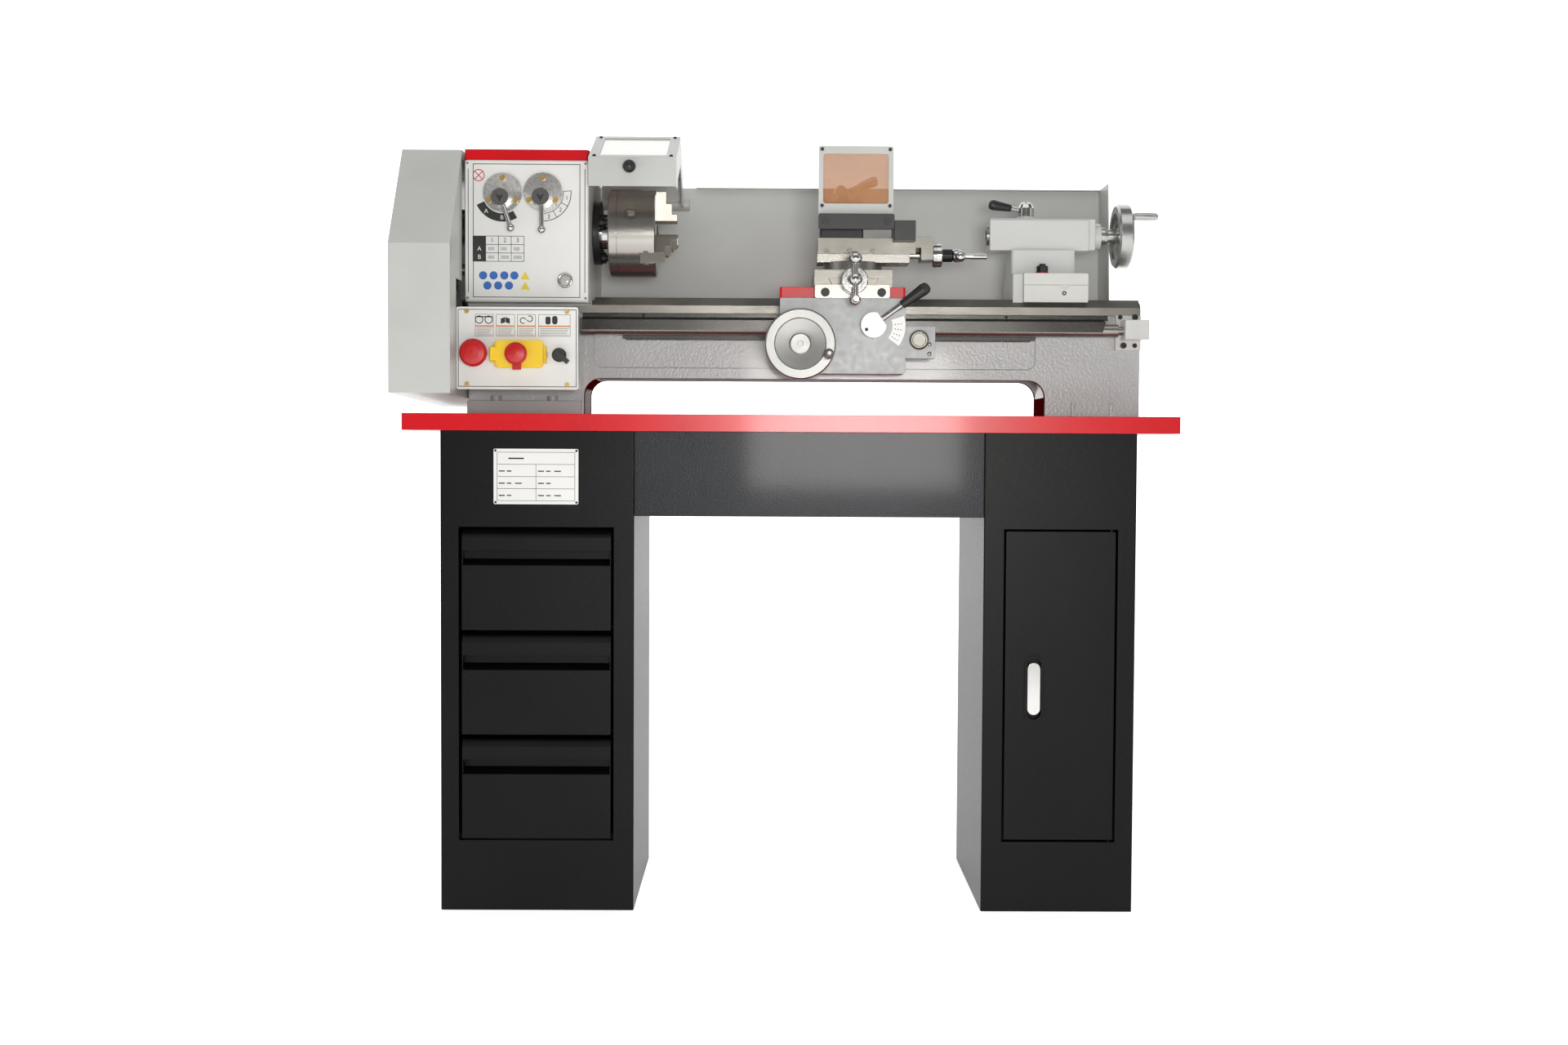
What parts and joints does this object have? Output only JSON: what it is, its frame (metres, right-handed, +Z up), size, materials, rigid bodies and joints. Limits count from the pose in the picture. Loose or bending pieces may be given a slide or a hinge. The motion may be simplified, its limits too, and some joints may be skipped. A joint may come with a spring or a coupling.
{
  "type": "bench lathe on a cabinet stand",
  "caption": "Small geared metal-turning lathe with a three-jaw chuck, carriage, tailstock, guards and chip tray, standing on two steel cabinets with drawers and a door.",
  "frame": {"origin": "floor level, middle of the bounding box", "axes": "+X along the bed from the headstock to the tailstock, +Y from the operator to the back, +Z up"},
  "size_m": [1.067, 0.446, 1.079],
  "materials": {
    "black_paint": "gloss",
    "red_paint": "gloss",
    "grey_paint": "satin",
    "sheet_grey": "satin",
    "steel": "satin",
    "bright": "polished",
    "turned_aluminium": "satin",
    "red_plastic": "gloss",
    "yellow_plastic": "satin",
    "black_plastic": "satin",
    "belt_rubber": "matte",
    "screw_steel": "satin"
  },
  "bodies": {
    "stand_and_bed": {"left_cabinet": "black_paint", "right_cabinet": "black_paint", "centre_panel": "black_paint", "chip_tray": "red_paint", "bed": "grey_paint", "feed_rack": "steel", "leadscrew_guard": "steel", "leadscrew_bracket": "grey_paint", "headstock_casting": "grey_paint", "headstock_lid": "red_paint", "detent_plates": "turned_aluminium", "electrics_box": "sheet_grey", "control_panel": "sheet_grey", "switch_base": "yellow_plastic", "spindle_bearings": "steel", "motor": "turned_aluminium", "splash_guard": "sheet_grey", "drive_belt": "belt_rubber", "screws_and_pins": "screw_steel"},
    "spindle_group": {"spindle": "steel", "change_gear": "steel", "chuck_body": "steel"},
    "jaw_1": {"chuck_jaw_1": "steel"},
    "jaw_2": {"chuck_jaw_2": "steel"},
    "jaw_3": {"chuck_jaw_3": "steel"},
    "carriage": {"saddle": "red_paint", "apron": "grey_paint"},
    "tailstock": {"tailstock_base": "grey_paint", "tailstock_body": "grey_paint"},
    "input_shaft": {"input_shaft": "steel"},
    "motor_pulley": {"motor_pulley": "steel"},
    "idler_gear": {"idler_gear": "steel"},
    "leadscrew": {"leadscrew": "steel"},
    "range_lever": {"range_lever": "bright"},
    "speed_lever": {"speed_lever": "bright"},
    "chuck_guard": {"chuck_guard": "sheet_grey"},
    "emergency_button": {"emergency_button": "red_plastic"},
    "switch_flap": {"switch_flap": "yellow_plastic"},
    "selector_knob": {"selector_knob": "black_plastic"},
    "end_cover": {"end_cover": "sheet_grey"},
    "top_drawer": {"top_drawer": "black_paint"},
    "middle_drawer": {"middle_drawer": "black_paint"},
    "bottom_drawer": {"bottom_drawer": "black_paint"},
    "cabinet_door": {"cabinet_door": "black_paint"},
    "door_latch": {"door_latch": "bright"},
    "carriage_handwheel": {"carriage_handwheel": "turned_aluminium"},
    "half_nut_lever": {"half_nut_lever": "bright"},
    "half_nut": {"half_nut": "steel"},
    "thread_dial": {"thread_dial": "bright"},
    "cross_slide": {"cross_slide": "steel"},
    "cross_feed_screw": {"cross_feed_screw": "bright"},
    "swivel_base": {"swivel_base": "steel"},
    "compound_slide": {"compound_slide": "steel"},
    "compound_screw": {"compound_screw": "bright"},
    "toolpost": {"toolpost": "steel"},
    "toolpost_lever": {"toolpost_lever": "bright"},
    "tool_guard": {"tool_guard": "black_plastic"},
    "quill": {"quill": "steel"},
    "tailstock_handwheel": {"tailstock_handwheel": "turned_aluminium"},
    "quill_lock_lever": {"quill_lock_lever": "bright"}
  },
  "joints": [
    {"name": "spindle_spin", "type": "hinge", "parent": "stand_and_bed", "child": "spindle_group", "pos_m": [-0.2515, -0.024, 0.94], "axis": [1, 0, 0], "continuous": true},
    {"name": "jaw_1_slide", "type": "slide", "parent": "spindle_group", "child": "jaw_1", "axis": [0, -0.1736, 0.9848], "range_m": [-0.008, 0.008]},
    {"name": "jaw_2_slide", "type": "slide", "parent": "spindle_group", "child": "jaw_2", "axis": [0, 0.9397, -0.342], "range_m": [-0.008, 0.008]},
    {"name": "jaw_3_slide", "type": "slide", "parent": "spindle_group", "child": "jaw_3", "axis": [0, -0.766, -0.6428], "range_m": [-0.008, 0.008]},
    {"name": "input_spin", "type": "hinge", "parent": "stand_and_bed", "child": "input_shaft", "pos_m": [-0.3625, 0.04397, 0.9717], "axis": [1, 0, 0], "continuous": true},
    {"name": "motor_spin", "type": "hinge", "parent": "stand_and_bed", "child": "motor_pulley", "pos_m": [-0.4925, 0.146, 0.83], "axis": [1, 0, 0], "continuous": true},
    {"name": "idler_spin", "type": "hinge", "parent": "stand_and_bed", "child": "idler_gear", "pos_m": [-0.4685, -0.06263, 0.88313], "axis": [1, 0, 0], "continuous": true},
    {"name": "leadscrew_spin", "type": "hinge", "parent": "stand_and_bed", "child": "leadscrew", "pos_m": [-0.4685, -0.104, 0.799], "axis": [1, 0, 0], "continuous": true},
    {"name": "range_lever_turn", "type": "hinge", "parent": "stand_and_bed", "child": "range_lever", "pos_m": [-0.3955, -0.114, 0.977], "axis": [0, 1, 0], "range_deg": [-25, 25]},
    {"name": "speed_lever_turn", "type": "hinge", "parent": "stand_and_bed", "child": "speed_lever", "pos_m": [-0.3395, -0.114, 0.9777], "axis": [0, 1, 0], "range_deg": [-30, 30]},
    {"name": "chuck_guard_swing", "type": "hinge", "parent": "stand_and_bed", "child": "chuck_guard", "pos_m": [-0.2725, 0.076, 0.995], "axis": [1, 0, 0], "range_deg": [-60, 0]},
    {"name": "emergency_push", "type": "slide", "parent": "stand_and_bed", "child": "emergency_button", "axis": [0, 1, 0], "range_m": [0, 0.004], "stiffness_N_per_m": 400},
    {"name": "switch_flap_swing", "type": "hinge", "parent": "stand_and_bed", "child": "switch_flap", "pos_m": [-0.3995, -0.1854, 0.758], "axis": [0, 0, 1], "range_deg": [-90, 0]},
    {"name": "selector_turn", "type": "hinge", "parent": "stand_and_bed", "child": "selector_knob", "pos_m": [-0.309, -0.164, 0.7575], "axis": [0, 1, 0], "range_deg": [-90, 0]},
    {"name": "end_cover_swing", "type": "hinge", "parent": "stand_and_bed", "child": "end_cover", "pos_m": [-0.4555, 0.218, 0.704], "axis": [0, 0, 1], "range_deg": [-100, 0]},
    {"name": "top_drawer_slide", "type": "slide", "parent": "stand_and_bed", "child": "top_drawer", "axis": [0, -1, 0], "range_m": [0, 0.25]},
    {"name": "middle_drawer_slide", "type": "slide", "parent": "stand_and_bed", "child": "middle_drawer", "axis": [0, -1, 0], "range_m": [0, 0.25]},
    {"name": "bottom_drawer_slide", "type": "slide", "parent": "stand_and_bed", "child": "bottom_drawer", "axis": [0, -1, 0], "range_m": [0, 0.25]},
    {"name": "cabinet_door_swing", "type": "hinge", "parent": "stand_and_bed", "child": "cabinet_door", "pos_m": [0.4445, -0.193, 0.096], "axis": [0, 0, 1], "range_deg": [0, 100]},
    {"name": "door_latch_turn", "type": "hinge", "parent": "cabinet_door", "child": "door_latch", "pos_m": [0.3399, -0.1945, 0.2781], "axis": [1, 0, 0], "range_deg": [0, 25], "stiffness_Nm_per_rad": 0.05},
    {"name": "carriage_slide", "type": "slide", "parent": "stand_and_bed", "child": "carriage", "axis": [1, 0, 0], "range_m": [-0.15, 0.038]},
    {"name": "carriage_wheel_turn", "type": "hinge", "parent": "carriage", "child": "carriage_handwheel", "pos_m": [0.0197, -0.174, 0.7744], "axis": [0, 1, 0], "continuous": true},
    {"name": "half_nut_lever_turn", "type": "hinge", "parent": "carriage", "child": "half_nut_lever", "pos_m": [0.121, -0.134, 0.8023], "axis": [0, 1, 0], "range_deg": [0, 45]},
    {"name": "half_nut_slide", "type": "slide", "parent": "carriage", "child": "half_nut", "axis": [0, 0, 1], "range_m": [0, 0.0062]},
    {"name": "thread_dial_turn", "type": "hinge", "parent": "carriage", "child": "thread_dial", "pos_m": [0.185, -0.134, 0.783], "axis": [0, 1, 0], "continuous": true},
    {"name": "cross_slide_feed", "type": "slide", "parent": "carriage", "child": "cross_slide", "axis": [0, 1, 0], "range_m": [-0.004, 0.04]},
    {"name": "cross_screw_turn", "type": "hinge", "parent": "carriage", "child": "cross_feed_screw", "pos_m": [0.094, -0.134, 0.8626], "axis": [0, 1, 0], "continuous": true},
    {"name": "compound_swivel", "type": "hinge", "parent": "cross_slide", "child": "swivel_base", "pos_m": [0.094, -0.079, 0.8812], "axis": [0, 0, 1], "range_deg": [-45, 30]},
    {"name": "compound_feed", "type": "slide", "parent": "swivel_base", "child": "compound_slide", "axis": [1, 0, 0], "range_m": [-0.015, 0.01]},
    {"name": "compound_screw_turn", "type": "hinge", "parent": "compound_slide", "child": "compound_screw", "pos_m": [0.1815, -0.079, 0.9054], "axis": [1, 0, 0], "continuous": true},
    {"name": "toolpost_turn", "type": "hinge", "parent": "compound_slide", "child": "toolpost", "pos_m": [0.078, -0.079, 0.9266], "axis": [0, 0, 1], "range_deg": [-30, 45]},
    {"name": "toolpost_lever_turn", "type": "hinge", "parent": "toolpost", "child": "toolpost_lever", "pos_m": [0.078, -0.079, 0.9766], "axis": [0, 0, 1], "range_deg": [-10, 90]},
    {"name": "tool_guard_tilt", "type": "hinge", "parent": "compound_slide", "child": "tool_guard", "pos_m": [0.1495, -0.13293, 0.9419], "axis": [1, 0, 0], "range_deg": [0, 75]},
    {"name": "tailstock_slide", "type": "slide", "parent": "stand_and_bed", "child": "tailstock", "axis": [1, 0, 0], "range_m": [-0.03, 0.04]},
    {"name": "quill_feed", "type": "slide", "parent": "tailstock", "child": "quill", "axis": [1, 0, 0], "range_m": [-0.05, 0]},
    {"name": "tailstock_wheel_turn", "type": "hinge", "parent": "tailstock", "child": "tailstock_handwheel", "pos_m": [0.4345, -0.024, 0.94], "axis": [1, 0, 0], "continuous": true},
    {"name": "quill_lock_turn", "type": "hinge", "parent": "tailstock", "child": "quill_lock_lever", "pos_m": [0.3465, -0.024, 0.963], "axis": [0, 0, 1], "range_deg": [-40, 40]}
  ],
  "couplings": [
    {"joint": "jaw_2_slide", "follows": "jaw_1_slide", "ratio": 1},
    {"joint": "jaw_3_slide", "follows": "jaw_1_slide", "ratio": 1},
    {"joint": "input_spin", "follows": "spindle_spin", "ratio": -2},
    {"joint": "motor_spin", "follows": "spindle_spin", "ratio": -4},
    {"joint": "idler_spin", "follows": "spindle_spin", "ratio": -0.57143},
    {"joint": "leadscrew_spin", "follows": "spindle_spin", "ratio": 0.5},
    {"joint": "carriage_wheel_turn", "follows": "carriage_slide", "rad_per_m": -100},
    {"joint": "half_nut_slide", "follows": "half_nut_lever_turn", "m_per_rad": 0.007639},
    {"joint": "thread_dial_turn", "follows": "carriage_slide", "rad_per_m": -125}
  ]
}
